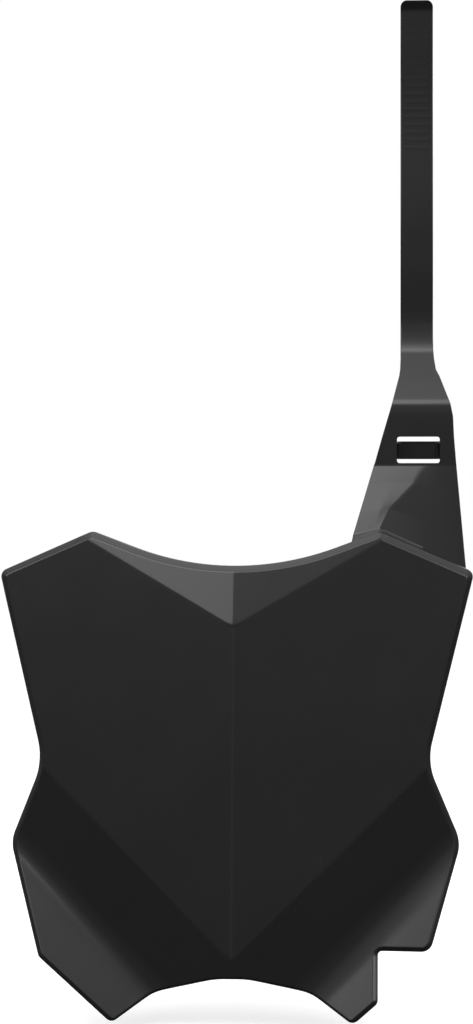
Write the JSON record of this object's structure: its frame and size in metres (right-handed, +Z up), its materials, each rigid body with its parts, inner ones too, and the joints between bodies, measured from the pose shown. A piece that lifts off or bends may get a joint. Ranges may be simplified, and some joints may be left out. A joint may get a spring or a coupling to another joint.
{
  "type": "motocross front number plate",
  "caption": "V-shaped moulded front number plate with scooped top, flared lower wings, rear mounting lugs and a flexible handlebar strap on a windowed bracket.",
  "frame": {"origin": "midway between the two mounting lug holes, on the lugs' lower face", "axes": "+Z up along the strap, -Y out of the plate's front, +X towards the side with the strap (the rider's left)"},
  "size_m": [0.2404, 0.084, 0.5173],
  "materials": {
    "black_plastic": "satin black moulded polypropylene"
  },
  "bodies": {
    "plate": {"plate_shell": "black_plastic", "mounting_lug_left": "black_plastic", "mounting_lug_right": "black_plastic", "strap_bracket": "black_plastic", "strap_keeper": "black_plastic", "strap_root": "black_plastic"},
    "strap_link_01": {"strap_link_01": "black_plastic"},
    "strap_link_02": {"strap_link_02": "black_plastic"},
    "strap_link_03": {"strap_link_03": "black_plastic"},
    "strap_link_04": {"strap_link_04": "black_plastic"},
    "strap_link_05": {"strap_link_05": "black_plastic"},
    "strap_link_06": {"strap_link_06": "black_plastic"},
    "strap_link_07": {"strap_link_07": "black_plastic"},
    "strap_link_08": {"strap_link_08": "black_plastic"},
    "strap_link_09": {"strap_link_09": "black_plastic"},
    "strap_tail": {"strap_tail": "black_plastic"}
  },
  "joints": [
    {"name": "strap_bend_01", "type": "hinge", "parent": "plate", "child": "strap_link_01", "pos_m": [0.092, 0.0521, 0.284], "axis": [-1, 0, 0], "range_deg": [-5, 21.6], "stiffness_Nm_per_rad": 0.15},
    {"name": "strap_bend_02", "type": "hinge", "parent": "strap_link_01", "child": "strap_link_02", "pos_m": [0.092, 0.0521, 0.293], "axis": [-1, 0, 0], "range_deg": [-5, 21.6], "stiffness_Nm_per_rad": 0.15},
    {"name": "strap_bend_03", "type": "hinge", "parent": "strap_link_02", "child": "strap_link_03", "pos_m": [0.092, 0.0521, 0.302], "axis": [-1, 0, 0], "range_deg": [-5, 21.6], "stiffness_Nm_per_rad": 0.15},
    {"name": "strap_bend_04", "type": "hinge", "parent": "strap_link_03", "child": "strap_link_04", "pos_m": [0.092, 0.0521, 0.311], "axis": [-1, 0, 0], "range_deg": [-5, 21.6], "stiffness_Nm_per_rad": 0.15},
    {"name": "strap_bend_05", "type": "hinge", "parent": "strap_link_04", "child": "strap_link_05", "pos_m": [0.092, 0.0521, 0.32], "axis": [-1, 0, 0], "range_deg": [-5, 21.6], "stiffness_Nm_per_rad": 0.15},
    {"name": "strap_bend_06", "type": "hinge", "parent": "strap_link_05", "child": "strap_link_06", "pos_m": [0.092, 0.0521, 0.329], "axis": [-1, 0, 0], "range_deg": [-5, 21.6], "stiffness_Nm_per_rad": 0.15},
    {"name": "strap_bend_07", "type": "hinge", "parent": "strap_link_06", "child": "strap_link_07", "pos_m": [0.092, 0.0521, 0.338], "axis": [-1, 0, 0], "range_deg": [-5, 21.6], "stiffness_Nm_per_rad": 0.15},
    {"name": "strap_bend_08", "type": "hinge", "parent": "strap_link_07", "child": "strap_link_08", "pos_m": [0.092, 0.0521, 0.347], "axis": [-1, 0, 0], "range_deg": [-5, 21.6], "stiffness_Nm_per_rad": 0.15},
    {"name": "strap_bend_09", "type": "hinge", "parent": "strap_link_08", "child": "strap_link_09", "pos_m": [0.092, 0.0521, 0.356], "axis": [-1, 0, 0], "range_deg": [-5, 21.6], "stiffness_Nm_per_rad": 0.15},
    {"name": "strap_bend_10", "type": "hinge", "parent": "strap_link_09", "child": "strap_tail", "pos_m": [0.092, 0.0521, 0.365], "axis": [-1, 0, 0], "range_deg": [-5, 21.6], "stiffness_Nm_per_rad": 0.15}
  ]
}
